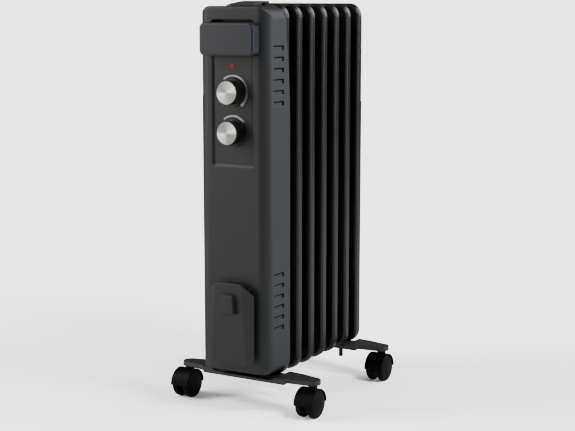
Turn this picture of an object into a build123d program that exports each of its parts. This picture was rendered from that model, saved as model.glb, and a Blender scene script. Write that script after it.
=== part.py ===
"""Oil filled radiator heater: seven steel fins, a moulded front housing with two dials,
a grab handle, a cord winder, and two pressed feet on four twin-wheel casters.

Millimetres. +Z is up, +X is to the right of the front, +Y points to the back. Y values are
written from the housing's front face and shifted on export, so that the origin is on the
floor under the middle of the whole heater.
"""
from build123d import *
import os

os.makedirs("parts", exist_ok=True)

# ---------------------------------------------------------------- driving dimensions
# fin block
FIN_COUNT = 7
FIN_PITCH = 40.0
FIN_HALF_WIDTH = 58.0
FIN_BOTTOM = 51.5
FIN_TOP = 625.0
FIN_CORNER = 22.0
FIRST_FIN_Y = 64.0
RIM_DEPTH = 16.0             # the rolled rim, front to back
RIM_WIDTH = 9.0              # the rolled rim, across the fin's plane
RIM_ROUND = 4.4
RIM_SHEET = 1.6
SHEET = 1.2
WEB = 1.6
CHANNEL_DEPTH = 14.0         # the pressed oil channel, front to back
CHANNEL_X = 23.0
CHANNEL_WIDTH = 20.0
CHANNEL_ROUND = 3.0
HUB_R = 36.0
HUB_BORE_R = 24.0
HEADER_INSET = 45.0          # header axis from the fin's top or bottom edge
COLLAR_R = 32.0
COLLAR_BORE_R = 26.0

# housing
COVER_HALF_WIDTH = 61.0
COVER_BOTTOM = 65.4
COVER_TOP = 620.7
COVER_WALL = 2.4
COVER_EDGE_R = 18.0
COVER_TOP_R = 20.0
COVER_FOOT_R = 8.0
COVER_CROWN_R = 4.0
COVER_FLOOR_END = 38.0
COVER_ROOF_END = 50.0
COVER_REAR = 66.5
PANEL_BOTTOM = 381.0
PANEL_TOP = 549.0
PANEL_HALF_WIDTH = 32.5
PANEL_BEVEL = 4.5
PANEL_RECESS = 2.2
PANEL_SHEET = 2.5
POCKET_HALF_WIDTH = 38.0
POCKET_BOTTOM = 552.0
POCKET_TOP = 600.5
POCKET_DEPTH = 14.0
LOUVRE_ROWS = 6
LOUVRE_PITCH = 16.5
LOUVRE_TOPS = (562.5, 219.0)
LOUVRE_FRONT = 18.5
LOUVRE_LENGTH = 29.5
LOUVRE_HEIGHT = 7.0
LAMP_Z = 531.7
LAMP_R = 4.0
DIALS = {"thermostat": 493.4, "selector": 433.4}
SCALE_OUTER_R = 26.0
SCALE_END = {"thermostat": 145.0, "selector": 50.0}
SCALE_START = -40.0

# knobs
KNOB_FRONT = -17.0
KNOB_R = 17.8
SKIRT_R = 21.5
CAP_R = 17.0
CAP_SHEET = 0.8
SPINDLE_R = 3.0
RUN = 0.05                   # radial running clearance

# handle, cap and winder
HANDLE_HALF_WIDTH = 47.2
HANDLE_BOTTOM = 547.5
HANDLE_TOP = 596.5
HANDLE_FRONT = -18.0
GRIP_THICK = 10.0
CAP_HALF_WIDTH = 20.0
CAP_FRONT_Y = 28.0
CAP_REAR_Y = 75.0
CAP_LOW = 624.7
CAP_HIGH = 628.2
WINDER_HALF_WIDTH = 42.5
WINDER_TOP = 205.5
WINDER_BOTTOM = 84.0
WINDER_FRONT = -15.0
WINDER_SHEET = 5.0
HOOK_FRONT = -22.0

# feet
FOOT_Y = (46.0, 284.0)
FOOT_HALF_LENGTH = 124.0
FOOT_SHEET = 2.0
WING_TOP = 56.0
WING_LIP = 49.5
SEAT_LIP = 47.5
SEAT_HALF_LENGTH = 50.0
UBOLT_HALF_WIDTH = 36.0
UBOLT_R = 3.0
UBOLT_ENDS = (44.5, 29.0)    # how low the front and the rear bolt's legs reach

# casters
STEM_X = 113.0
STEM_R = 3.5
SLEEVE_R = 7.0
SLEEVE_BOTTOM = 47.2
TRAIL = 8.5                  # the axle stands this far in front of the stem
WHEEL_R = 22.0
WHEEL_INNER_X = 5.0
WHEEL_OUTER_X = 15.0
WHEEL_DOME_X = 16.5
AXLE_R = 3.0
AXLE_HALF_LENGTH = 13.2
HOOD_R = 23.6
HOOD_HALF_WIDTH = 15.8
CHEEK = 4.3                  # half thickness of the web between the wheels

# element, oil filler and cord inlet
ELEMENT_BORE_R = 21.0
ELEMENT_FAR_GAP = 14.0       # from the element's bend centre to the last fin's centre
GASKET_R = 28.0
GASKET_SHEET = 1.5
LEG_X = 11.0
LEG_R = 4.25
PIN_R = 1.6
FILLER_R = 5.0
FILLER_HEAD_R = 8.0
GLAND_Y = 32.0
GLAND_Z = 110.0
GLAND_NECK_R = 6.5
GLAND_FLANGE_R = 9.0
GLAND_BORE_R = 3.6

# screws
SCREW_R = 1.7
SCREW_LENGTH = 10.0
SCREW_HEAD_R = 3.5
SCREW_HEAD = 2.2

# ---------------------------------------------------------------- worked out from those
FIN_HEIGHT = FIN_TOP - FIN_BOTTOM
FIN_MID_Z = (FIN_TOP + FIN_BOTTOM) / 2
FIN_Y = [FIRST_FIN_Y + FIN_PITCH * i for i in range(FIN_COUNT)]
LOWER_HEADER_Z = FIN_BOTTOM + HEADER_INSET
UPPER_HEADER_Z = FIN_TOP - HEADER_INSET
REAR_Y = FIN_Y[-1] + RIM_DEPTH / 2
ORIGIN_Y = (REAR_Y + HOOK_FRONT) / 2
BRACKET_Y = COVER_ROOF_END + 0.5
BRACKET_SHEET = 1.5
POST_X = 44.0
POST_Z = (120.0, 340.0, 560.0)
CONTROL_Y = 13.0             # front face of the thermostat and the switch
TAB_X = 20.0
HANDLE_SCREW_Z = 578.0


def save(name, shape):
    """Shift a shape from the front face to the heater's origin and write its STEP file."""
    moved = Pos(0, -ORIGIN_Y, 0) * shape
    moved.label = name
    export_step(moved, f"parts/{name}.step")


def upright(sketch, y, depth):
    """Extrude a sketch drawn in X and Z from y towards the back by depth."""
    plane = Plane(origin=(0, y, 0), x_dir=(1, 0, 0), z_dir=(0, -1, 0))
    return extrude(plane * sketch, amount=-depth)


def block(x, y, z):
    """A box given by its low and high values along X, Y and Z."""
    size = [high - low for low, high in (x, y, z)]
    centre = [(high + low) / 2 for low, high in (x, y, z)]
    return Pos(*centre) * Box(*size)


def rod_y(x, z, radius, y0, y1):
    """A cylinder along Y."""
    return Pos(x, (y0 + y1) / 2, z) * Rot(90, 0, 0) * Cylinder(radius, y1 - y0)


def rod_x(y, z, radius, x0, x1):
    """A cylinder along X."""
    return Pos((x0 + x1) / 2, y, z) * Rot(0, 90, 0) * Cylinder(radius, x1 - x0)


def rod_z(x, y, radius, z0, z1):
    """A cylinder along Z."""
    return Pos(x, y, (z0 + z1) / 2) * Cylinder(radius, z1 - z0)


def half_torus(bend_radius, radius):
    """A half turn of round bar in the XY plane, on its +Y side."""
    section = Plane.XZ * Pos(bend_radius, 0) * Circle(radius)
    return revolve(section, axis=Axis.Z, revolution_arc=180)


# ---------------------------------------------------------------- fin block
def ring(inset):
    """The rolled rim, or with an inset the square-edged hollow inside it."""
    half_depth = RIM_DEPTH / 2 - inset
    width = 2 * (FIN_HALF_WIDTH - inset)
    height = FIN_HEIGHT - 2 * inset
    inner_cut = 2 * (RIM_WIDTH - 2 * inset)
    outer = RectangleRounded(width, height, FIN_CORNER - inset)
    corner = FIN_CORNER - RIM_WIDTH + inset
    inner = RectangleRounded(width - inner_cut, height - inner_cut, corner)
    body = upright(Pos(0, FIN_MID_Z) * (outer - inner), -half_depth, 2 * half_depth)
    if inset:
        return body
    edges = [e for e in body.edges() if abs(abs(e.center().Y) - half_depth) < 1e-3]
    return fillet(edges, RIM_ROUND)


def channel(inset):
    """The oil channel: two columns joined by a round hub at each end."""
    half = CHANNEL_DEPTH / 2 - inset
    plan = Sketch()
    for z in (LOWER_HEADER_Z, UPPER_HEADER_Z):
        plan += Pos(0, z) * Circle(HUB_R - inset)
    for x in (-CHANNEL_X, CHANNEL_X):
        height = UPPER_HEADER_Z - LOWER_HEADER_Z
        plan += Pos(x, FIN_MID_Z) * Rectangle(CHANNEL_WIDTH - 2 * inset, height)
    body = upright(plan, -half, 2 * half)
    if inset:
        return body
    edges = [e for e in body.edges() if abs(abs(e.center().Y) - half) < 1e-3]
    return fillet(edges, CHANNEL_ROUND)


def fin_body():
    """One fin centred on Y = 0, with its rolled rim, web and closed oil channel."""
    rim = ring(0) - ring(RIM_SHEET)
    reach = RIM_WIDTH - RIM_SHEET / 2
    web_plan = RectangleRounded(
        2 * (FIN_HALF_WIDTH - reach), FIN_HEIGHT - 2 * reach, FIN_CORNER - reach
    )
    web = upright(Pos(0, FIN_MID_Z) * web_plan, -WEB / 2, WEB)
    return rim + web + channel(0) - channel(SHEET)


def make_fins():
    blank = fin_body()
    half = CHANNEL_DEPTH / 2 + 1
    for i, y in enumerate(FIN_Y):
        fin = blank
        for z in (LOWER_HEADER_Z, UPPER_HEADER_Z):
            first_upper = i == 0 and z == UPPER_HEADER_Z
            front = -half if not first_upper else 0
            back = half if i < FIN_COUNT - 1 else 0
            fin -= rod_y(0, z, HUB_BORE_R, front, back)
        if i == 0:
            fin -= rod_y(0, UPPER_HEADER_Z, FILLER_R, -half, 0)
        save(f"fin_{i + 1}", Pos(0, y, 0) * fin)


def make_headers():
    """Collars welded between neighbouring fins, and the boss that takes the element."""
    collars = []
    for y in FIN_Y[:-1]:
        for z in (LOWER_HEADER_Z, UPPER_HEADER_Z):
            start = y + CHANNEL_DEPTH / 2
            end = start + FIN_PITCH - CHANNEL_DEPTH
            collars.append(rod_y(0, z, COLLAR_R, start, end) - rod_y(0, z, COLLAR_BORE_R, start, end))
    save("header_collars", Compound(children=collars))

    start, end = COVER_FLOOR_END, FIRST_FIN_Y - CHANNEL_DEPTH / 2
    boss = rod_y(0, LOWER_HEADER_Z, COLLAR_R, start, end)
    boss -= rod_y(0, LOWER_HEADER_Z, ELEMENT_BORE_R, start, end)
    save("element_boss", boss)

    plug = rod_y(0, UPPER_HEADER_Z, FILLER_R, end, end + SHEET)
    plug += rod_y(0, UPPER_HEADER_Z, FILLER_HEAD_R, end - 2.5, end)
    save("oil_fill_plug", plug)


def make_element():
    """Hairpin element in its brass plug, sealed by a fibre washer against the boss."""
    z = LOWER_HEADER_Z
    face = COVER_FLOOR_END
    front = face - GASKET_SHEET
    gasket = rod_y(0, z, GASKET_R, front, face) - rod_y(0, z, ELEMENT_BORE_R, front, face)
    save("element_gasket", gasket)

    plug = rod_y(0, z, ELEMENT_BORE_R - 0.05, front, face + 14.0)
    plug += upright(Pos(0, z) * RegularPolygon(27.0, 6), front - 8.0, 8.0)
    for x in (-LEG_X, LEG_X):
        plug -= rod_y(x, z, LEG_R, face - 10.0, face + 15.0)
    save("element_plug", plug)

    far = FIN_Y[-1] - ELEMENT_FAR_GAP
    near = face - 12.0
    element = Pos(0, far, z) * half_torus(LEG_X, LEG_R)
    for x in (-LEG_X, LEG_X):
        element += rod_y(x, z, LEG_R, near, far)
        element += rod_y(x, z, PIN_R, near - 9.0, near)
    save("heating_element", element)


# ---------------------------------------------------------------- housing
def cover_outline(inset):
    """Plan of the housing with round front edges, cut to its front view."""
    half = COVER_HALF_WIDTH - inset
    radius = COVER_EDGE_R - inset
    plan = Pos(0, (inset + 80) / 2) * Rectangle(2 * half, 80 - inset)
    front_corners = [v for v in plan.vertices() if v.Y < 10]
    plan = fillet(front_corners, radius)
    bottom, top = COVER_BOTTOM + inset, COVER_TOP - inset
    tower = extrude(Pos(0, 0, bottom) * plan, amount=top - bottom)
    view = Pos(0, (bottom + top) / 2) * Rectangle(2 * half, top - bottom)
    view = fillet([v for v in view.vertices() if v.Y > 300], COVER_TOP_R - inset)
    view = fillet([v for v in view.vertices() if v.Y < 300], COVER_FOOT_R - inset)
    return tower & upright(view, -5, 100)


def rear_cut():
    """Everything behind the housing's rear edge, whose top sweeps forward."""
    low, roof = COVER_BOTTOM, COVER_ROOF_END
    edge = [
        Line((200, 700), (roof, 700)),
        Line((roof, 700), (roof, 612)),
        ThreePointArc((roof, 612), (61.5, 535), (COVER_REAR, 420)),
        Line((COVER_REAR, 420), (COVER_REAR, low + 14)),
        ThreePointArc((COVER_REAR, low + 14), (COVER_REAR - 4, low + 4), (COVER_REAR - 14, low)),
        Line((COVER_REAR - 14, low), (COVER_REAR - 14, 0)),
        Line((COVER_REAR - 14, 0), (200, 0)),
        Line((200, 0), (200, 700)),
    ]
    side = make_face([Plane.YZ * e for e in edge])
    return extrude(side, amount=100, both=True)


def louvre_cuts(side):
    """Pressed louvres: a shallow pocket, open along its top and at its rear end."""
    cuts = Part()
    wall = COVER_HALF_WIDTH
    rear = LOUVRE_FRONT + LOUVRE_LENGTH
    for top in LOUVRE_TOPS:
        for row in range(LOUVRE_ROWS):
            z = top - LOUVRE_PITCH * row
            low = z - LOUVRE_HEIGHT
            x_pocket = sorted((side * (wall - 0.9), side * (wall + 1)))
            x_through = sorted((side * (wall - COVER_WALL - 1), side * (wall + 1)))
            cuts += block(x_pocket, (LOUVRE_FRONT, rear), (low, z))
            cuts += block(x_through, (LOUVRE_FRONT, rear), (z - 1.8, z))
            cuts += block(x_through, (rear - 3.5, rear), (low, z))
    return cuts


def panel_opening():
    """The bevelled recess for the control panel, its seat and the window behind."""
    half, bottom, top = PANEL_HALF_WIDTH, PANEL_BOTTOM + PANEL_BEVEL, PANEL_TOP
    mid = (bottom + top) / 2
    seat = upright(Pos(0, mid) * RectangleRounded(2 * half, top - bottom, 2), 0, PANEL_RECESS + PANEL_SHEET)
    window = block((-half + 3, half - 3), (0, 20), (bottom + 3, top - 4))
    mouth_plan = Pos(0, mid) * RectangleRounded(
        2 * (half + PANEL_BEVEL), top - bottom + 2 * PANEL_BEVEL, 5
    )
    floor_plan = Pos(0, mid) * RectangleRounded(2 * half, top - bottom, 2)
    front = Plane(origin=(0, 0, 0), x_dir=(1, 0, 0), z_dir=(0, -1, 0))
    back = Plane(origin=(0, PANEL_RECESS, 0), x_dir=(1, 0, 0), z_dir=(0, -1, 0))
    bevel = loft([front * mouth_plan, back * floor_plan])
    below_handle = block((-60, 60), (-5, 20), (0, POCKET_BOTTOM - COVER_WALL - 0.6))
    return (bevel & below_handle) + seat + window


def make_cover():
    outer = cover_outline(0)
    crown = [e for e in outer.edges() if e.center().Z > COVER_TOP - 0.1 and e.center().Y < 75]
    outer = fillet(crown, COVER_CROWN_R)
    cover = outer - cover_outline(COVER_WALL)
    # thicker frame that carries the control panel
    half, bottom = PANEL_HALF_WIDTH + PANEL_BEVEL + 2, PANEL_BOTTOM - 2
    cover += block((-half, half), (1, PANEL_RECESS + PANEL_SHEET + 2), (bottom, PANEL_TOP + 1))
    # finger pocket behind the handle
    wall = COVER_WALL
    cover += block(
        (-POCKET_HALF_WIDTH - wall, POCKET_HALF_WIDTH + wall),
        (1, POCKET_DEPTH + wall),
        (POCKET_BOTTOM - wall, POCKET_TOP + wall),
    )
    for x in (-POST_X, POST_X):
        for z in POST_Z:
            cover += rod_y(x, z, 4.5, 1, BRACKET_Y)
    cover -= upright(
        Pos(0, (POCKET_BOTTOM + POCKET_TOP) / 2)
        * RectangleRounded(2 * POCKET_HALF_WIDTH, POCKET_TOP - POCKET_BOTTOM, 6),
        -1,
        POCKET_DEPTH + 1,
    )
    cover -= panel_opening()
    cover -= rear_cut()
    inside = COVER_HALF_WIDTH - COVER_WALL
    cover -= block((-inside, inside), (COVER_FLOOR_END, 90), (0, COVER_BOTTOM + 9))
    for side in (-1, 1):
        cover -= louvre_cuts(side)
    cover -= rod_x(GLAND_Y, GLAND_Z, GLAND_NECK_R, -70, -50)
    for x, z, head_y in screw_places():
        cover -= rod_y(x, z, SCREW_R, head_y - SCREW_LENGTH, head_y)
        # flat seat for the head
        cover -= rod_y(x, z, SCREW_HEAD_R + 0.2, head_y, head_y + SCREW_HEAD)
    save("front_cover", cover)


def screw_places():
    """X, Z and the Y of each screw's underhead; all of them point to the front."""
    places = [(x, z, BRACKET_Y + BRACKET_SHEET) for x in (-POST_X, POST_X) for z in POST_Z]
    places += [(x, HANDLE_SCREW_Z, COVER_WALL) for x in (-POST_X, POST_X)]
    places += [(x, 145.0, COVER_WALL) for x in (-10.0, 10.0)]
    places += [(x, z, CONTROL_Y + 1.5) for x in (-TAB_X, TAB_X) for z in DIALS.values()]
    return places


def make_screws():
    screws = []
    for x, z, y in screw_places():
        shank = rod_y(x, z, SCREW_R, y - SCREW_LENGTH, y)
        head = rod_y(x, z, SCREW_HEAD_R, y, y + SCREW_HEAD)
        slot = block((x - 3, x + 3), (y + 1.2, y + 3), (z - 0.5, z + 0.5))
        screws.append(shank + head - slot)
    save("pan_head_screws", Compound(children=screws))


def make_gland():
    """Cord inlet bush, snapped into the left wall; no cord is fitted."""
    wall = -COVER_HALF_WIDTH
    gland = rod_x(GLAND_Y, GLAND_Z, GLAND_NECK_R, wall - 3, wall + COVER_WALL + 6)
    gland += rod_x(GLAND_Y, GLAND_Z, GLAND_FLANGE_R, wall - 3, wall)
    gland += rod_x(GLAND_Y, GLAND_Z, GLAND_NECK_R + 1, wall + COVER_WALL, wall + COVER_WALL + 2)
    gland -= rod_x(GLAND_Y, GLAND_Z, GLAND_BORE_R, wall - 4, wall + 10)
    save("cord_gland", gland)


def make_panel():
    bottom, top, half = PANEL_BOTTOM + PANEL_BEVEL, PANEL_TOP, PANEL_HALF_WIDTH
    gap = 0.1
    plan = Pos(0, (bottom + top) / 2) * RectangleRounded(2 * (half - gap), top - bottom - 2 * gap, 2)
    face = PANEL_RECESS
    panel = upright(plan, face, PANEL_SHEET)
    for z in DIALS.values():
        for x in (-TAB_X, TAB_X):
            panel += rod_y(x, z, 3.6, face + PANEL_SHEET, CONTROL_Y)
            panel -= rod_y(x, z, SCREW_R, CONTROL_Y + 1.5 - SCREW_LENGTH, CONTROL_Y)
        panel -= rod_y(0, z, 5.2, face - 1, face + PANEL_SHEET + 1)
    panel -= rod_y(0, LAMP_Z, LAMP_R, face - 1, face + PANEL_SHEET + 1)
    save("control_panel", panel)

    scales = []
    for name, z in DIALS.items():
        start, end = SCALE_START, SCALE_END[name]
        sweep_angle = end - start
        thin, thick = 2.2, 3.8
        outer = CenterArc((0, z), SCALE_OUTER_R, 90 - start, -sweep_angle)
        shift = (thick - thin) / 2
        inner_r = SCALE_OUTER_R - (thick + thin) / 2
        mid = Vector(0, z) + Vector(inner_r, 0).rotate(Axis.Z, 90 - (start + end) / 2)
        first = Vector(0, z) + Vector(inner_r + shift, 0).rotate(Axis.Z, 90 - start)
        last = Vector(0, z) + Vector(inner_r - shift, 0).rotate(Axis.Z, 90 - end)
        inner = ThreePointArc(last, mid, first)
        outline = [outer, Line(outer @ 1, last), inner, Line(first, outer @ 0)]
        scales.append(upright(make_face(outline), PANEL_RECESS - 0.3, 0.3))
    save("dial_scales", Compound(children=scales))


def make_lamp():
    face = PANEL_RECESS
    lens = rod_y(0, LAMP_Z, LAMP_R, face - 0.6, face + PANEL_SHEET)
    lens += rod_y(0, LAMP_Z, LAMP_R - 1, face - 1.2, face - 0.6)
    save("lamp_lens", lens)
    back = face + PANEL_SHEET
    holder = rod_y(0, LAMP_Z, LAMP_R + 1.5, back, back + 14.0)
    holder += block((-5, 5), (back + 14, back + 18), (LAMP_Z - 2, LAMP_Z + 2))
    save("lamp_holder", holder)


def make_controls():
    """Thermostat and selector switch behind the panel, each with two fixing tabs."""
    for name, z in DIALS.items():
        half_height = 17.0 if name == "thermostat" else 15.0
        depth = 24.0 if name == "thermostat" else 20.0
        body = block((-15, 15), (CONTROL_Y, CONTROL_Y + depth), (z - half_height, z + half_height))
        body += block((-24, 24), (CONTROL_Y, CONTROL_Y + 1.5), (z - 6, z + 6))
        body += rod_y(0, z, 5.0, PANEL_RECESS + PANEL_SHEET, CONTROL_Y)
        for x in (-8, 0, 8):
            body += block(
                (x - 0.4, x + 0.4),
                (CONTROL_Y + depth, CONTROL_Y + depth + 7),
                (z - 3, z + 3),
            )
        body -= rod_y(0, z, SPINDLE_R + RUN, 0, CONTROL_Y + 10)
        for x in (-TAB_X, TAB_X):
            body -= rod_y(x, z, SCREW_R, CONTROL_Y - 1, CONTROL_Y + 2)
        save(f"{name}_body" if name == "thermostat" else "selector_switch", body)


def make_inner_parts():
    """Bracket that carries the cover, with the terminal block and thermal cut-out on it."""
    y0, y1 = BRACKET_Y, BRACKET_Y + BRACKET_SHEET
    plan = Pos(0, 340) * RectangleRounded(100, 510, 6)
    plan -= Pos(0, LOWER_HEADER_Z) * Circle(COLLAR_R + 0.5)
    plan -= Pos(0, LOWER_HEADER_Z - 30) * Rectangle(2 * COLLAR_R + 1, 60)
    plan -= Pos(0, 300) * RectangleRounded(40, 180, 6)
    plan -= Pos(0, UPPER_HEADER_Z) * Circle(12)
    for x in (-POST_X, POST_X):
        for z in POST_Z:
            plan -= Pos(x, z) * Circle(SCREW_R)
    bracket = upright(plan, y0, y1 - y0)
    # two tabs welded to the first fin's web
    for z in (420.0, 500.0):
        bracket += block((-8, 8), (y1, FIRST_FIN_Y - WEB / 2), (z - 1, z + 1))
    save("front_bracket", bracket)

    cutout = rod_y(30, 170, 8.5, y0 - 9, y0) + block((16, 44), (y0 - 1.2, y0), (166, 174))
    for x in (26, 34):
        cutout += block((x - 0.4, x + 0.4), (y0 - 16, y0 - 9), (167, 173))
    save("thermal_cutout", cutout)

    block_low = (-34, -12)
    terminal = block(block_low, (y0 - 14, y0), (160, 182))
    for z in (164, 171, 178):
        terminal -= rod_x(y0 - 7, z, 2.0, -36, -10)
        terminal -= rod_y(-28, z, 1.6, y0 - 15, y0 - 7)
        terminal -= rod_y(-18, z, 1.6, y0 - 15, y0 - 7)
    save("terminal_block", terminal)


# ---------------------------------------------------------------- handle, cap and winder
def make_handle():
    mid = (HANDLE_BOTTOM + HANDLE_TOP) / 2
    plan = Pos(0, mid) * RectangleRounded(2 * HANDLE_HALF_WIDTH, HANDLE_TOP - HANDLE_BOTTOM, 8)
    grip = upright(plan, HANDLE_FRONT, -HANDLE_FRONT)
    front_edges = [e for e in grip.edges() if abs(e.center().Y - HANDLE_FRONT) < 1e-3]
    grip = fillet(front_edges, 3.0)
    back = HANDLE_FRONT + GRIP_THICK
    grip -= block((-POCKET_HALF_WIDTH, POCKET_HALF_WIDTH), (back, 1), (500, 640))
    inner = [
        e
        for e in grip.edges()
        if abs(e.center().Y - back) < 1e-3 and abs(e.center().X) < 1 and e.length > 40
    ]
    grip = fillet(inner, 3.0)
    for x in (-POST_X, POST_X):
        grip -= rod_y(x, HANDLE_SCREW_Z, SCREW_R, COVER_WALL - SCREW_LENGTH, 1)
    save("handle", grip)


def make_top_cap():
    """Ramped cap over the joint between the housing and the first fin, with a locating tongue."""
    side = Polyline(
        (CAP_FRONT_Y, COVER_TOP),
        (CAP_FRONT_Y, CAP_LOW),
        (CAP_REAR_Y - 14, CAP_HIGH),
        (CAP_REAR_Y, CAP_HIGH),
        (CAP_REAR_Y, FIN_TOP),
        (COVER_ROOF_END + 3.6, FIN_TOP),
        (COVER_ROOF_END + 3.6, 606),
        (COVER_ROOF_END + 0.4, 606),
        (COVER_ROOF_END + 0.4, COVER_TOP),
        close=True,
    )
    cap = extrude(make_face(Plane.YZ * side), amount=CAP_HALF_WIDTH, both=True)
    crown = [e for e in cap.edges() if e.center().Z > CAP_LOW + 0.5 and abs(e.center().X) > 1]
    cap = fillet(crown, 1.2)
    save("top_cap", cap)


def make_winder():
    """Cord winder: a chamfered plate on a short core, its side strips bevelled back."""
    half, chamfer_x, chamfer_z = WINDER_HALF_WIDTH, 21.5, 16.0
    top, low = WINDER_TOP, WINDER_BOTTOM
    outline = [
        Line((-half, low), (-half, top - chamfer_z)),
        Line((-half, top - chamfer_z), (-half + chamfer_x, top)),
        Line((-half + chamfer_x, top), (half - chamfer_x, top)),
        Line((half - chamfer_x, top), (half, top - chamfer_z)),
        Line((half, top - chamfer_z), (half, low)),
        ThreePointArc((half, low), (0, low - 5), (-half, low)),
    ]
    plan = make_face(outline)
    plan = fillet(plan.vertices(), 4.0)
    plate = upright(plan, WINDER_FRONT, WINDER_SHEET)
    front_edges = [e for e in plate.edges() if abs(e.center().Y - WINDER_FRONT) < 1e-3]
    plate = fillet(front_edges, 1.4)
    for side in (-1, 1):
        cutter = Pos(side * 27, WINDER_FRONT, 145) * Rot(0, -side * 4, side * 8)
        plate -= cutter * Pos(side * 30, -10, 0) * Box(60, 20, 160)
    core = upright(Pos(0, 145) * RectangleRounded(44, 76, 8), WINDER_FRONT + WINDER_SHEET, 10.0)
    winder = plate + core
    for x in (-10.0, 10.0):
        winder -= rod_y(x, 145.0, SCREW_R, COVER_WALL - SCREW_LENGTH, 1)
    save("cord_winder", winder)

    wide = Plane(origin=(0, WINDER_FRONT, 0), x_dir=(1, 0, 0), z_dir=(0, -1, 0))
    narrow = Plane(origin=(0, HOOK_FRONT, 0), x_dir=(1, 0, 0), z_dir=(0, -1, 0))
    base = make_face(Polyline((-13.5, 160), (13.5, 160), (11.5, 189), (-11.5, 189), close=True))
    nose = make_face(Polyline((-12.5, 161), (12.5, 161), (10.5, 188), (-10.5, 188), close=True))
    hook = loft([wide * base, narrow * nose])
    hook = fillet([e for e in hook.edges() if abs(e.center().Y - HOOK_FRONT) < 1e-3], 1.2)
    # slit that grips the cord
    hook -= block((-20, 20), (WINDER_FRONT - 4.6, WINDER_FRONT - 1.0), (184.2, 195))
    save("cord_clip", hook)


# ---------------------------------------------------------------- knobs
def make_knobs():
    for name, z in DIALS.items():
        base = PANEL_RECESS - 0.9
        knob = rod_y(0, z, SKIRT_R, base - 2.4, base)
        knob += rod_y(0, z, KNOB_R, KNOB_FRONT, base)
        rims = [e for e in knob.edges() if abs(e.center().Y - KNOB_FRONT) < 1e-3]
        knob = fillet(rims, 0.6)
        knob -= rod_y(0, z, CAP_R, KNOB_FRONT - 1, KNOB_FRONT + CAP_SHEET)
        knob -= rod_y(0, z, SPINDLE_R, KNOB_FRONT + 4, base + 1)
        knob -= rod_y(0, z, 14.5, base - 9.0, base + 1) - rod_y(0, z, 5.5, base - 9.0, base + 1)
        save(f"{name}_knob", knob)

        disc = rod_y(0, z, CAP_R, KNOB_FRONT + 0.2, KNOB_FRONT + CAP_SHEET)
        disc -= rod_y(0, z, CAP_R - 2.2, KNOB_FRONT, KNOB_FRONT + 0.35)
        save(f"{name}_knob_disc", disc)

        spindle = rod_y(0, z, SPINDLE_R, KNOB_FRONT + 4, CONTROL_Y + 9)
        save(f"{name}_spindle", spindle)


# ---------------------------------------------------------------- feet
def foot_plan(inset):
    """Plan of a foot about its caster line: deep centre, slimmer wings with round tips."""
    tip = FOOT_HALF_LENGTH - inset
    front, back = -20.0 + inset, 24.0 - inset
    right = [
        Line((0, front), (73 - inset, front)),
        Line((73 - inset, front), (78 - inset, -15 + inset)),
        Line((78 - inset, -15 + inset), (111, -11 + inset)),
        ThreePointArc((111, -11 + inset), (tip, 1.5), (111, 14 - inset)),
        Line((111, 14 - inset), (84, 21 - inset)),
        Line((84, 21 - inset), (60, back)),
        Line((60, back), (0, back)),
    ]
    half = make_face(right + [Line((0, back), (0, front))])
    return half + mirror(half, about=Plane.YZ)


def foot_profile(drop):
    """Front view of a foot's top surface; drop lowers it to the sheet's underside."""
    seat, wing = FIN_BOTTOM - drop, WING_TOP - drop
    wing_lip = WING_LIP if drop == 0 else 30.0
    seat_lip = SEAT_LIP if drop == 0 else 30.0
    end = FOOT_HALF_LENGTH + 2
    right = [
        (0, seat_lip), (73, seat_lip), (76, wing_lip), (end, wing_lip), (end, wing),
        (SEAT_HALF_LENGTH + 9, wing), (SEAT_HALF_LENGTH, seat), (0, seat),
    ]
    if drop:
        right = [(0, 30.0), (end, 30.0)] + right[4:]
    half = make_face(Polyline(*right, close=True))
    return half + mirror(half, about=Plane.YZ)


def foot_shape():
    outer = upright(foot_profile(0), -40, 80) & extrude(foot_plan(0), amount=100)
    inner = upright(foot_profile(FOOT_SHEET), -40, 80) & extrude(foot_plan(FOOT_SHEET), amount=100)
    foot = outer - inner
    for x in (-STEM_X, STEM_X):
        foot += rod_z(x, 0, SLEEVE_R, SLEEVE_BOTTOM, WING_TOP - FOOT_SHEET)
        foot -= rod_z(x, 0, STEM_R + RUN, SLEEVE_BOTTOM - 1, WING_TOP - FOOT_SHEET)
    for x in (-UBOLT_HALF_WIDTH, UBOLT_HALF_WIDTH):
        foot -= rod_z(x, 0, UBOLT_R + 0.2, 30, 70)
    return foot


def make_feet():
    foot = foot_shape()
    bolts, nuts = [], []
    for name, y, low in zip(("front_foot", "rear_foot"), FOOT_Y, UBOLT_ENDS):
        save(name, Pos(0, y, 0) * foot)
        half = UBOLT_HALF_WIDTH
        bolt = Pos(0, y, LOWER_HEADER_Z) * Rot(90, 0, 0) * half_torus(half, UBOLT_R)
        for x in (-half, half):
            bolt += rod_z(x, y, UBOLT_R, low, LOWER_HEADER_Z)
        bolts.append(bolt)
        top = FIN_BOTTOM - FOOT_SHEET
        for x in (-half, half):
            nut = extrude(Pos(x, y, top - 5.0) * RegularPolygon(5.8, 6), amount=5.0)
            nut += rod_z(x, y, 7.5, top - 1.2, top)
            nuts.append(nut - rod_z(x, y, UBOLT_R, top - 6, top + 1))
    save("u_bolts", Compound(children=bolts))
    save("foot_nuts", Compound(children=nuts))


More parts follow.
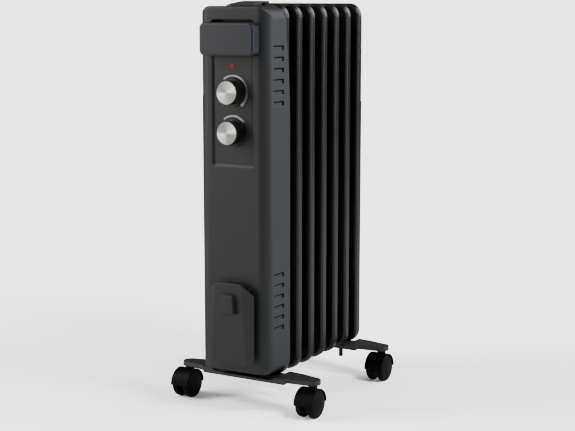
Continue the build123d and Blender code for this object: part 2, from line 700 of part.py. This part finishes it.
# ---------------------------------------------------------------- casters
def wheel_shape():
    """Right-hand wheel about the X axis: flat inside, crowned tread, domed outside."""
    outline = [
        Line((WHEEL_INNER_X, AXLE_R + RUN), (WHEEL_INNER_X, WHEEL_R - 2.5)),
        ThreePointArc(
            (WHEEL_INNER_X, WHEEL_R - 2.5),
            (WHEEL_INNER_X + 0.8, WHEEL_R - 0.8),
            (WHEEL_INNER_X + 2.5, WHEEL_R),
        ),
        Line((WHEEL_INNER_X + 2.5, WHEEL_R), (WHEEL_OUTER_X - 4, WHEEL_R)),
        ThreePointArc(
            (WHEEL_OUTER_X - 4, WHEEL_R),
            (WHEEL_OUTER_X - 1.0, WHEEL_R - 1.2),
            (WHEEL_OUTER_X, WHEEL_R - 4),
        ),
        ThreePointArc((WHEEL_OUTER_X, WHEEL_R - 4), (WHEEL_DOME_X - 0.35, 10), (WHEEL_DOME_X, 3)),
        Line((WHEEL_DOME_X, 3), (WHEEL_DOME_X, 0)),
        Line((WHEEL_DOME_X, 0), (AXLE_HALF_LENGTH + 0.3, 0)),
        Line((AXLE_HALF_LENGTH + 0.3, 0), (AXLE_HALF_LENGTH + 0.3, AXLE_R + RUN)),
        Line((AXLE_HALF_LENGTH + 0.3, AXLE_R + RUN), (WHEEL_INNER_X, AXLE_R + RUN)),
    ]
    face = make_face(outline)
    return revolve(face, axis=Axis.X)


def caster_housing_shape():
    """Hood over both wheels with a web between them and a neck under the foot's sleeve.

    Drawn about the axle: X along the axle, the stem is TRAIL behind it.
    """
    hood_plan = Circle(HOOD_R) - Circle(WHEEL_R + 0.6)
    hood_plan &= Pos(0, 20) * Rectangle(60, 40)
    hood = extrude(Plane.YZ * hood_plan, amount=HOOD_HALF_WIDTH, both=True)
    rims = [e for e in hood.edges() if abs(abs(e.center().X) - HOOD_HALF_WIDTH) < 1e-3 and e.length > 65]
    hood = fillet([e for e in rims if e.radius > WHEEL_R + 1], 0.8)
    web_plan = Circle(HOOD_R - 0.5) & Pos(0, 20) * Rectangle(60, 40)
    web_plan += Circle(8.5)
    web_plan += Pos(0, -3) * Rectangle(17, 8)
    web = extrude(Plane.YZ * web_plan, amount=CHEEK, both=True)
    neck_top = SLEEVE_BOTTOM - 0.4 - WHEEL_R
    neck = rod_z(0, TRAIL, SLEEVE_R - 0.3, 21.2, neck_top)
    housing = hood + web + neck
    housing -= rod_x(0, 0, AXLE_R, -10, 10)
    housing -= rod_z(0, TRAIL, STEM_R, 8.0, 40)
    return housing


def make_casters():
    housing = caster_housing_shape()
    right = wheel_shape()
    left = mirror(right, about=Plane.YZ)
    axle = rod_x(0, 0, AXLE_R, -AXLE_HALF_LENGTH, AXLE_HALF_LENGTH)
    stem = rod_z(0, TRAIL, STEM_R, 8.0, WING_TOP - FOOT_SHEET - 0.4 - WHEEL_R)
    for end, y in zip(("front", "rear"), FOOT_Y):
        for hand, x in (("left", -STEM_X), ("right", STEM_X)):
            place = Pos(x, y - TRAIL, WHEEL_R)
            name = f"{end}_{hand}_caster"
            save(f"{name}_housing", place * housing)
            save(f"{name}_stem", place * stem)
            save(f"{name}_axle", place * axle)
            save(f"{name}_outer_wheel", place * (left if x < 0 else right))
            save(f"{name}_inner_wheel", place * (right if x < 0 else left))


make_fins()
make_headers()
make_element()
make_cover()
make_screws()
make_gland()
make_panel()
make_lamp()
make_controls()
make_inner_parts()
make_handle()
make_top_cap()
make_winder()
make_knobs()
make_feet()
make_casters()
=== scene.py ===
import bpy
import math
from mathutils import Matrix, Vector


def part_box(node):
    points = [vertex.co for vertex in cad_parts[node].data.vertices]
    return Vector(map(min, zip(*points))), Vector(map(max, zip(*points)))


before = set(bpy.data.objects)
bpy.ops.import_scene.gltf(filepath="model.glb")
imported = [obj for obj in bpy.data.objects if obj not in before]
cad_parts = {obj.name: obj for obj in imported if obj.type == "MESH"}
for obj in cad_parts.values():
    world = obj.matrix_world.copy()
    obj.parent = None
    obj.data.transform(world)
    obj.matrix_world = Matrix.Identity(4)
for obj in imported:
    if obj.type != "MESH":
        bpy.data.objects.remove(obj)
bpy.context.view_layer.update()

# ---- Fins
# Seven hollow panels of mild steel sheet, each pressed with an oil channel and a rolled rim
# and seam welded. Collars join them at two headers, and the block is stove enamelled black.


def linear(hexcode):
    """Linear RGBA of an sRGB hex colour."""
    parts = [int(hexcode[i:i + 2], 16) / 255 for i in (1, 3, 5)]
    return [c / 12.92 if c <= 0.04045 else ((c + 0.055) / 1.055) ** 2.4 for c in parts] + [1.0]


def node(tree, kind, links=None, **settings):
    """Adds a shader node and returns it.

    A setting is one of the node's properties or else a socket's value, with _ for a space in
    the socket's name. links gives the output that feeds each socket.
    """
    made = tree.nodes.new("ShaderNode" + kind)
    properties = [key for key in settings if hasattr(made, key)]
    for key in properties:
        setattr(made, key, settings[key])
    for key, value in settings.items():
        if key not in properties:
            made.inputs[key.replace("_", " ")].default_value = value
    for key, output in (links or {}).items():
        tree.links.new(output, made.inputs[key])
    return made


def new_material(name, **surface):
    """A material with one Principled shader, whose constant sockets are set directly."""
    material = bpy.data.materials.new(name)
    material.use_nodes = True
    tree = material.node_tree
    shader = tree.nodes["Principled BSDF"]
    for key, value in surface.items():
        shader.inputs[key.replace("_", " ")].default_value = value
    return material, tree, shader


def finish(names, material):
    """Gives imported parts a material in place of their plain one."""
    for name in names:
        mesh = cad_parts[name].data
        mesh.materials.clear()
        mesh.materials.append(material)


# A colour Mix node's two colour inputs and its colour output.
COLOUR_A, COLOUR_B, COLOUR_OUT = 6, 7, 2

# Cosine between the true normal and the one of a rounded edge, on the flat and at the edge.
FLAT_COSINE, EDGE_COSINE = 0.995, 0.9


def skin(blank, base, dark, light, grain_mm, patch_mm, rough, bump_mm, wear=None, edge_mm=None):
    """Colour and gloss that drift in soft patches, under a fine grain that stands up as relief.

    grain_mm and patch_mm are the sizes of the grain and of the patches, bump_mm is the height
    of the grain, and rough is the lowest and highest roughness. With wear, a colour, edges are
    rubbed towards it over a width of edge_mm. The grain of moulded, plated, drawn and foiled
    skins is really 0.1 to 0.3 mm, and is drawn coarser so that it shows.
    """
    material, tree, shader = blank
    place = node(tree, "TexCoord").outputs["Object"]
    patch = node(tree, "TexNoise", {"Vector": place}, Scale=1000 / patch_mm, Detail=3.0, Roughness=0.6)
    grain = node(tree, "TexNoise", {"Vector": place}, Scale=1000 / grain_mm, Detail=4.0, Roughness=0.55)
    tone = node(tree, "Mix", {"Factor": patch.outputs["Fac"]}, data_type="RGBA")
    tone.inputs[COLOUR_A].default_value = linear(dark)
    tone.inputs[COLOUR_B].default_value = linear(light)
    fleck = node(tree, "Mix", {"Factor": grain.outputs["Fac"], COLOUR_A: tone.outputs[COLOUR_OUT]},
                 data_type="RGBA")
    fleck.inputs[COLOUR_B].default_value = linear(base)
    colour = fleck.outputs[COLOUR_OUT]
    gloss = node(tree, "MapRange", {"Value": patch.outputs["Fac"]}, To_Min=rough[0], To_Max=rough[1])
    relief = node(tree, "Bump", {"Height": grain.outputs["Fac"]}, Distance=bump_mm / 1000, Strength=1.0)
    if wear:
        rounded = node(tree, "Bevel", samples=4, Radius=edge_mm / 1000)
        flat = node(tree, "NewGeometry")
        along = node(tree, "VectorMath", {0: rounded.outputs["Normal"], 1: flat.outputs["Normal"]},
                     operation="DOT_PRODUCT")
        edge = node(tree, "MapRange", {"Value": along.outputs["Value"]},
                    From_Min=FLAT_COSINE, From_Max=EDGE_COSINE)
        rub = node(tree, "Math", {0: edge.outputs["Result"], 1: grain.outputs["Fac"]},
                   operation="MULTIPLY")
        worn = node(tree, "Mix", {"Factor": rub.outputs["Value"], COLOUR_A: colour}, data_type="RGBA")
        worn.inputs[COLOUR_B].default_value = linear(wear)
        colour = worn.outputs[COLOUR_OUT]
        tree.links.new(rounded.outputs["Normal"], relief.inputs["Normal"])
    tree.links.new(colour, shader.inputs["Base Color"])
    tree.links.new(gloss.outputs["Result"], shader.inputs["Roughness"])
    tree.links.new(relief.outputs["Normal"], shader.inputs["Normal"])
    return material


# Stove enamel flows before it sets, which leaves a glossy skin with a faint orange peel; the
# rims are rubbed a little lighter from handling.
black_enamel = skin(
    new_material("black stove enamel", IOR=1.5),
    base="#0f0f0e", dark="#0b0b0a", light="#141413",
    grain_mm=1.6, patch_mm=60, rough=(0.26, 0.36), bump_mm=0.04,
    wear="#2c2d2c", edge_mm=2.5,
)
fins = [f"fin_{i}" for i in range(1, 8)]
finish(fins + ["header_collars", "element_boss"], black_enamel)

# ---- Heating element and its seal
# A hairpin of steel tube with a resistance wire inside lies in the oil. It is fixed in a
# turned brass plug, which is screwed into the boss against a pressed fibre washer.

# Turned brass shows a warm sheen with faint darker tarnish.
brass = skin(
    new_material("turned brass", Metallic=1.0),
    base="#b08d4a", dark="#9c7b3c", light="#c39f58",
    grain_mm=0.5, patch_mm=10, rough=(0.25, 0.4), bump_mm=0.02,
)
finish(["element_plug"], brass)

# Drawn tube is a dull dark grey, heat stained in patches.
drawn_steel = skin(
    new_material("drawn steel sheath", Metallic=1.0),
    base="#5c5a56", dark="#4c4a47", light="#6c6a66",
    grain_mm=0.6, patch_mm=20, rough=(0.35, 0.5), bump_mm=0.02,
)
finish(["heating_element"], drawn_steel)

# Pressed fibre is matt and reddish brown.
fibre = skin(
    new_material("pressed fibre washer", IOR=1.45),
    base="#7c3b26", dark="#6a2f1c", light="#8c4a34",
    grain_mm=0.6, patch_mm=8, rough=(0.7, 0.8), bump_mm=0.05,
)
finish(["element_gasket"], fibre)

# ---- Zinc plated steel parts
# The pressed bracket that carries the housing, its pan head screws, the oil filler plug, the
# two dial spindles, and the turned stems and axles of the casters, all zinc plated steel.

# Zinc plating gives a soft grey metal with a cloudy bloom.
zinc = skin(
    new_material("zinc plated steel", Metallic=1.0),
    base="#8e8d89", dark="#7e7d7a", light="#a3a29d",
    grain_mm=0.8, patch_mm=12, rough=(0.35, 0.5), bump_mm=0.02,
)
corners = [f"{end}_{hand}_caster" for end in ("front", "rear") for hand in ("left", "right")]
spindles = ["thermostat_spindle", "selector_spindle"]
caster_pins = [corner + part for corner in corners for part in ("_stem", "_axle")]
finish(["pan_head_screws", "front_bracket", "oil_fill_plug"] + spindles + caster_pins, zinc)

# ---- Controls behind the panel
# The thermostat, the selector switch, the thermal cut-out, the terminal block and the lamp's
# holder, each a hard phenolic moulding, fixed inside the housing.

# Phenolic moulds to an even cream with a slight sheen.
phenolic = skin(
    new_material("moulded phenolic", IOR=1.6),
    base="#cfc8b8", dark="#c3bcab", light="#d8d2c4",
    grain_mm=0.6, patch_mm=12, rough=(0.4, 0.5), bump_mm=0.02,
)
finish(["thermostat_body", "selector_switch", "thermal_cutout", "terminal_block", "lamp_holder"], phenolic)

# ---- Housing
# An injection moulded shell of flame-retardant ABS that wraps the first fin, screwed to the
# bracket behind it. The ramped cap on top is moulded in the same grade.

# A spark eroded mould gives a matt charcoal skin with a fine even grit.
charcoal_abs = skin(
    new_material("spark textured ABS charcoal", IOR=1.53),
    base="#232525", dark="#202222", light="#272929",
    grain_mm=0.9, patch_mm=90, rough=(0.48, 0.58), bump_mm=0.04,
    wear="#383b3a", edge_mm=1.5,
)
finish(["front_cover", "top_cap"], charcoal_abs)

# ---- Control panel
# A flat ABS fascia, moulded apart from the housing and held in a bevelled recess in its
# front.

# Its finer mould texture is smoother and blacker than the housing's.
panel_abs = skin(
    new_material("fine matt ABS black", IOR=1.53),
    base="#1e1e1e", dark="#1b1b1b", light="#212121",
    grain_mm=0.5, patch_mm=50, rough=(0.42, 0.5), bump_mm=0.02,
    wear="#2e2e2e", edge_mm=0.8,
)
finish(["control_panel"], panel_abs)

# ---- Dial scales
# An arc round each dial that tapers from thick to thin, of silver foil pressed hot on the
# panel's face.

# Hot foil shines like metal and is a little uneven where it took less well.
foil = skin(
    new_material("silver hot foil", IOR=1.5, Metallic=0.85),
    base="#a9aaab", dark="#9a9b9c", light="#b6b7b8",
    grain_mm=0.4, patch_mm=8, rough=(0.3, 0.4), bump_mm=0.01,
)
finish(["dial_scales"], foil)

# ---- Indicator lamp
# A small round lens of tinted polycarbonate, snapped into the panel above the dials in front
# of a neon lamp.

# The moulded lens is glossy and deep red, and the lamp behind it makes it glow faintly.
red_lens = skin(
    new_material("red polycarbonate lens", IOR=1.58,
                 Emission_Color=linear("#ff3860"), Emission_Strength=0.12),
    base="#8c1c38", dark="#701428", light="#a83050",
    grain_mm=0.8, patch_mm=4, rough=(0.1, 0.16), bump_mm=0.01,
)
finish(["lamp_lens"], red_lens)

# ---- Knobs
# Round grips moulded in black nylon and pushed on the spindles, each with a disc of spun
# aluminium let into its face.

# Nylon from a polished mould is satin and nearly black.
knob_nylon = skin(
    new_material("satin black nylon", IOR=1.53),
    base="#0d0d0e", dark="#0a0a0b", light="#111112",
    grain_mm=0.5, patch_mm=15, rough=(0.34, 0.42), bump_mm=0.02,
    wear="#29292a", edge_mm=0.6,
)
finish(["thermostat_knob", "selector_knob"], knob_nylon)


def spun_aluminium(centre, groove_mm=0.45, streak_mm=0.4, depth_mm=0.0015):
    """Aluminium turned about centre along Y.

    The light smears round the axis, so that bright wedges open from the middle. The relief is
    the sine of the distance from the axis, one ring each groove_mm and depth_mm deep, and
    streaks streak_mm wide vary the tone and the gloss from ring to ring. Real grooves are
    finer, about 0.1 mm, and are drawn coarser so that they show.
    """
    material, tree, shader = new_material("spun aluminium", Metallic=1.0, Anisotropic=0.95)
    round_axis = node(tree, "Tangent", direction_type="RADIAL", axis="Y")
    place = node(tree, "TexCoord").outputs["Object"]
    offset = node(tree, "VectorMath", {0: place}, operation="SUBTRACT")
    offset.inputs[1].default_value = centre
    flat = node(tree, "VectorMath", {0: offset.outputs["Vector"]}, operation="MULTIPLY")
    flat.inputs[1].default_value = (1, 0, 1)
    reach = node(tree, "VectorMath", {0: flat.outputs["Vector"]}, operation="LENGTH").outputs["Value"]
    turns = node(tree, "Math", {0: reach}, operation="MULTIPLY")
    turns.inputs[1].default_value = 2 * math.pi * 1000 / groove_mm
    groove = node(tree, "Math", {0: turns.outputs["Value"]}, operation="SINE")
    streak = node(tree, "TexNoise", {"W": reach}, noise_dimensions="1D", Scale=1000 / streak_mm, Detail=2.0)
    tone = node(tree, "Mix", {"Factor": streak.outputs["Fac"]}, data_type="RGBA")
    tone.inputs[COLOUR_A].default_value = linear("#cfccc6")
    tone.inputs[COLOUR_B].default_value = linear("#f2efe9")
    gloss = node(tree, "MapRange", {"Value": streak.outputs["Fac"]}, To_Min=0.34, To_Max=0.42)
    relief = node(tree, "Bump", {"Height": groove.outputs["Value"]}, Distance=depth_mm / 1000, Strength=1.0)
    tree.links.new(tone.outputs[COLOUR_OUT], shader.inputs["Base Color"])
    tree.links.new(gloss.outputs["Result"], shader.inputs["Roughness"])
    tree.links.new(relief.outputs["Normal"], shader.inputs["Normal"])
    tree.links.new(round_axis.outputs["Tangent"], shader.inputs["Tangent"])
    return material


for disc in ("thermostat_knob_disc", "selector_knob_disc"):
    low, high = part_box(disc)
    finish([disc], spun_aluminium([(a + b) / 2 for a, b in zip(low, high)]))

# ---- Handle
# A thick-walled grip across the top of the front, injection moulded in ABS and screwed on
# from inside the housing.

# The same spark texture as the housing, in a bluer grey and a little glossier from hands.
grip_abs = skin(
    new_material("spark textured ABS blue grey", IOR=1.53),
    base="#1e2029", dark="#1b1d26", light="#23252f",
    grain_mm=0.9, patch_mm=60, rough=(0.4, 0.5), bump_mm=0.04,
    wear="#34363d", edge_mm=1.5,
)
finish(["handle"], grip_abs)

# ---- Cord winder
# A plate on a short core low on the front, round which the cord is wound, with a clip that
# holds its end. Both are moulded in ABS.

# Graphite grey, between the panel and the housing in gloss.
winder_abs = skin(
    new_material("spark textured ABS graphite", IOR=1.53),
    base="#1c1e1e", dark="#191b1b", light="#202222",
    grain_mm=0.9, patch_mm=50, rough=(0.42, 0.52), bump_mm=0.04,
    wear="#343736", edge_mm=1.2,
)
finish(["cord_winder", "cord_clip"], winder_abs)

# ---- Cord inlet
# A moulded bush of black rubber for the cord, snapped into a hole in the housing's left
# wall. No cord is fitted.

# Moulded rubber is dull and takes hardly any shine.
rubber = skin(
    new_material("moulded black rubber", IOR=1.5),
    base="#161616", dark="#121212", light="#1c1c1c",
    grain_mm=0.7, patch_mm=12, rough=(0.55, 0.68), bump_mm=0.04,
)
finish(["cord_gland"], rubber)

# ---- Feet
# Two channels of steel sheet, pressed with turned-down lips and a sleeve for each caster's
# stem, and stove enamelled dark grey.

# Less glossy than the fins' enamel, with the same faint orange peel.
foot_enamel = skin(
    new_material("dark grey stove enamel", IOR=1.5),
    base="#353838", dark="#303333", light="#3a3d3d",
    grain_mm=1.2, patch_mm=40, rough=(0.36, 0.46), bump_mm=0.04,
    wear="#3e4241", edge_mm=1.2,
)
finish(["front_foot", "rear_foot"], foot_enamel)

# ---- Foot fixings
# U-bolts bent from steel rod hold the feet to the lower headers, tightened from below with
# flanged nuts. Both are plated and passivated black.

# Black passivate lets a little metal shine through.
black_zinc = skin(
    new_material("black passivated steel", Metallic=0.6),
    base="#1d1d1d", dark="#181818", light="#262626",
    grain_mm=0.8, patch_mm=12, rough=(0.4, 0.5), bump_mm=0.02,
)
finish(["u_bolts", "foot_nuts"], black_zinc)

# ---- Casters
# Four twin-wheel casters, each a hood over two wheels on one axle, moulded in black nylon. A
# steel stem pushes up into the sleeve of the foot.

# Nylon from a matt mould is deep black with hardly a highlight.
caster_nylon = skin(
    new_material("black nylon", IOR=1.53, Specular_IOR_Level=0.12),
    base="#030303", dark="#020202", light="#050505",
    grain_mm=0.6, patch_mm=20, rough=(0.5, 0.6), bump_mm=0.03,
    wear="#0a0a0a", edge_mm=0.8,
)
hoods = [corner + "_housing" for corner in corners]
wheels = [f"{corner}_{side}_wheel" for corner in corners for side in ("outer", "inner")]
finish(hoods + wheels, caster_nylon)

# ---- Floor, light and camera
# A pale floor that only takes the shadows, under a plain white surround. Large soft boxes
# stand at the front left, at the right and behind, with two smaller ones above the sides.

floor_half = 6.0
floor_corners = [(x * floor_half, y * floor_half, 0) for x, y in ((-1, -1), (1, -1), (1, 1), (-1, 1))]
floor_mesh = bpy.data.meshes.new("studio_floor")
floor_mesh.from_pydata(floor_corners, [], [(0, 1, 2, 3)])
floor = bpy.data.objects.new("studio_floor", floor_mesh)
bpy.context.collection.objects.link(floor)
floor_paint = new_material("white studio paper", Roughness=0.9, Base_Color=linear("#f4f4f4"))[0]
floor.data.materials.append(floor_paint)
floor.is_shadow_catcher = True

# The surround is bright to the camera, for a pale background, and dim to the object.
DIM_SURROUND, BRIGHT_SURROUND = 0.1, 3.4
world = bpy.data.worlds.new("studio")
bpy.context.scene.world = world
world.use_nodes = True
sky = world.node_tree
surround = sky.nodes["Background"]
surround.inputs["Color"].default_value = (1, 1, 1, 1)
seen = node(sky, "LightPath")
level = node(sky, "MapRange", {"Value": seen.outputs["Is Camera Ray"]},
             To_Min=DIM_SURROUND, To_Max=BRIGHT_SURROUND)
sky.links.new(level.outputs["Result"], surround.inputs["Strength"])


def soft_box(name, place, aim, size, watts, tint):
    """A rectangular area light at place, turned towards aim."""
    lamp = bpy.data.lights.new(name, "AREA")
    lamp.shape = "RECTANGLE"
    lamp.size, lamp.size_y = size
    lamp.energy = watts
    lamp.color = linear(tint)[:3]
    made = bpy.data.objects.new(name, lamp)
    bpy.context.collection.objects.link(made)
    made.location = place
    made.rotation_euler = (Vector(aim) - Vector(place)).to_track_quat("-Z", "Y").to_euler()


middle = (0.0, 0.0, 0.32)
soft_box("key_left", (-1.9, -1.8, 0.9), middle, (1.2, 1.6), 24, "#fffcf8")
soft_box("fill_right", (2.3, 1.2, 0.9), middle, (0.9, 1.8), 30, "#e6eeff")
soft_box("upper_left", (-1.5, -0.9, 1.6), middle, (0.9, 0.9), 22, "#ffffff")
soft_box("upper_right", (1.3, -0.2, 1.7), middle, (0.6, 0.6), 20, "#ffffff")
soft_box("back", (0.8, 2.6, 1.4), middle, (1.2, 1.4), 20, "#f6f8ff")

# A view through a long lens from the front right, level with the object's top, tilted down.
azimuth, pitch = math.radians(30.1), math.radians(8.99)
sensor_mm, lens_mm = 36.0, 82.9565
optics = bpy.data.cameras.new("camera")
optics.sensor_width = sensor_mm
optics.lens = lens_mm
camera = bpy.data.objects.new("camera", optics)
bpy.context.collection.objects.link(camera)
camera.location = (1.0623, -1.8137, 0.6205)
ahead = Vector((-math.sin(azimuth) * math.cos(pitch), math.cos(azimuth) * math.cos(pitch), -math.sin(pitch)))
camera.rotation_euler = ahead.to_track_quat("-Z", "Y").to_euler()
bpy.context.scene.camera = camera
